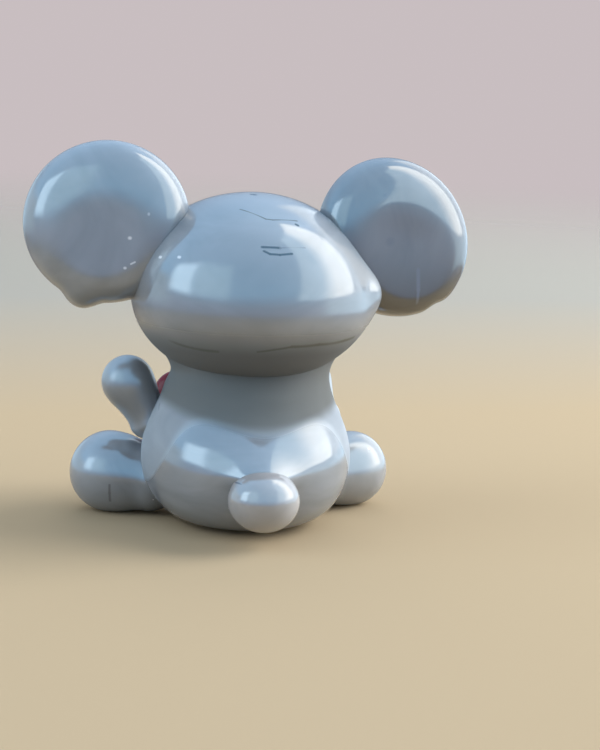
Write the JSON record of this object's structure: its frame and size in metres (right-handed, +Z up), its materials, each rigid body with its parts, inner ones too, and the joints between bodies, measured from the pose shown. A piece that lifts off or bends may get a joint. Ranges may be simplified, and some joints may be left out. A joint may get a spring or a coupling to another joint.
{
  "type": "glass koala figurine",
  "caption": "Small free-standing ornament: a sitting koala of opaque grey torch-worked glass with large round ears, one paw raised and the other on a puffed red glass heart that leans on its belly",
  "frame": {"origin": "middle of the pressed flat under the body that the figurine stands on", "axes": "+Z up, +X towards the koala's left side, the face looks along -Y"},
  "size_m": [0.032, 0.0214, 0.0266],
  "materials": {
    "grey_glass": "fire-polished opaque grey glass, high gloss",
    "pale_glass": "fire-polished opaque pale glass",
    "black_glass": "fire-polished opaque black glass",
    "white_glass": "fire-polished opaque white glass",
    "red_glass": "fire-polished opaque red glass"
  },
  "bodies": {
    "root": {"body": "grey_glass", "head": "grey_glass", "left_ear": "grey_glass", "right_ear": "grey_glass", "left_inner_ear": "pale_glass", "right_inner_ear": "pale_glass", "left_arm": "grey_glass", "right_arm": "grey_glass", "left_leg": "grey_glass", "right_leg": "grey_glass", "tail": "grey_glass", "nose": "black_glass", "left_eye": "black_glass", "right_eye": "black_glass", "left_eye_glint": "white_glass", "right_eye_glint": "white_glass", "heart": "red_glass"}
  },
  "joints": []
}
